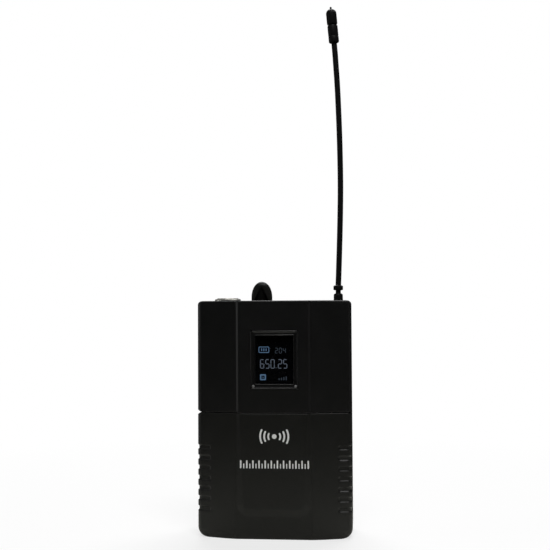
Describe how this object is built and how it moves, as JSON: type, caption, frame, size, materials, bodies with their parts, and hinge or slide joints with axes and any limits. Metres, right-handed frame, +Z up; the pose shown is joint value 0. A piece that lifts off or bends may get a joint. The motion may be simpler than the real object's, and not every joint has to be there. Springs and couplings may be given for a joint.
{
  "type": "wireless bodypack transmitter",
  "caption": "Flat black bodypack radio microphone transmitter with display, whip antenna, microphone socket, power lever, sliding battery cover and hinged belt clip.",
  "frame": {"origin": "centre of the base, on the surface that the case stands on", "axes": "+Z up along the case to the antenna, the display faces -Y and the belt clip is at +Y, +X is to the right seen from the front"},
  "size_m": [0.062, 0.0323, 0.2154],
  "materials": {
    "case_black": "fine-textured moulded ABS, satin black",
    "plate_black": "smooth satin black plastic",
    "gloss_black": "glossy black moulded plastic",
    "display_glass": "smoked clear pane",
    "display_face": "dark liquid crystal face",
    "board_green": "green solder mask",
    "ribbon_amber": "amber film",
    "socket_nickel": "satin nickel plate",
    "contact_gold": "gold and brass contacts",
    "insulator_black": "black insulator",
    "antenna_black": "smooth black antenna jacket",
    "lead_grey": "grey coaxial lead",
    "bright_steel": "nickel-plated spring steel",
    "screw_black": "black oxide steel",
    "cell_wrap": "printed foil sleeve over a steel can",
    "key_grey": "grey key caps",
    "clip_black": "tough satin black plastic"
  },
  "bodies": {
    "case": {"front_shell": "case_black", "rear_shell": "case_black", "top_plate": "plate_black", "battery_tray": "plate_black", "key_panel": "plate_black", "display_bezel": "gloss_black", "display_window": "display_glass", "display_module": "display_face", "main_board": "board_green", "display_board": "board_green", "key_board": "board_green", "display_ribbon": "ribbon_amber", "mic_socket_barrel": "socket_nickel", "mic_socket_nut": "socket_nickel", "mic_socket_pins": "contact_gold", "switch_terminals": "contact_gold", "antenna_bush": "contact_gold", "antenna_nut": "contact_gold", "mic_socket_insert": "insulator_black", "switch_housing": "insulator_black", "key_switches": "insulator_black", "antenna_boot": "antenna_black", "antenna_whip": "antenna_black", "antenna_tip_sleeve": "antenna_black", "antenna_tip_cap": "antenna_black", "antenna_lead": "lead_grey", "rf_shield": "bright_steel", "bridge_contact": "bright_steel", "positive_contact": "bright_steel", "negative_contact": "bright_steel", "bridge_spring": "bright_steel", "negative_spring": "bright_steel", "switch_pivot": "bright_steel", "clip_pin": "bright_steel", "clip_spring": "bright_steel", "case_screws": "screw_black", "tray_screws": "screw_black", "bracket_screws": "screw_black", "battery_cell_left": "cell_wrap", "battery_cell_right": "cell_wrap", "clip_bracket": "clip_black"},
    "cover": {"battery_cover": "case_black"},
    "lever": {"switch_lever": "gloss_black"},
    "clip": {"belt_clip": "clip_black"},
    "select": {"select_key": "key_grey"},
    "set": {"set_key": "key_grey"}
  },
  "joints": [
    {"name": "cover_slide", "type": "slide", "parent": "case", "child": "cover", "axis": [0, 0, -1], "range_m": [0, 0.052]},
    {"name": "lever_rock", "type": "hinge", "parent": "case", "child": "lever", "pos_m": [-0.0055, 0, 0.0886], "axis": [1, 0, 0], "range_deg": [-12, 12]},
    {"name": "clip_hinge", "type": "hinge", "parent": "case", "child": "clip", "pos_m": [0, 0.0156, 0.078], "axis": [1, 0, 0], "range_deg": [0, 20], "stiffness_Nm_per_rad": 0.2, "springref_deg": -17.19},
    {"name": "select_press", "type": "slide", "parent": "case", "child": "select", "axis": [0, 1, 0], "range_m": [0, 0.0004], "stiffness_N_per_m": 3000, "springref_m": -0.0002},
    {"name": "set_press", "type": "slide", "parent": "case", "child": "set", "axis": [0, 1, 0], "range_m": [0, 0.0004], "stiffness_N_per_m": 3000, "springref_m": -0.0002}
  ]
}
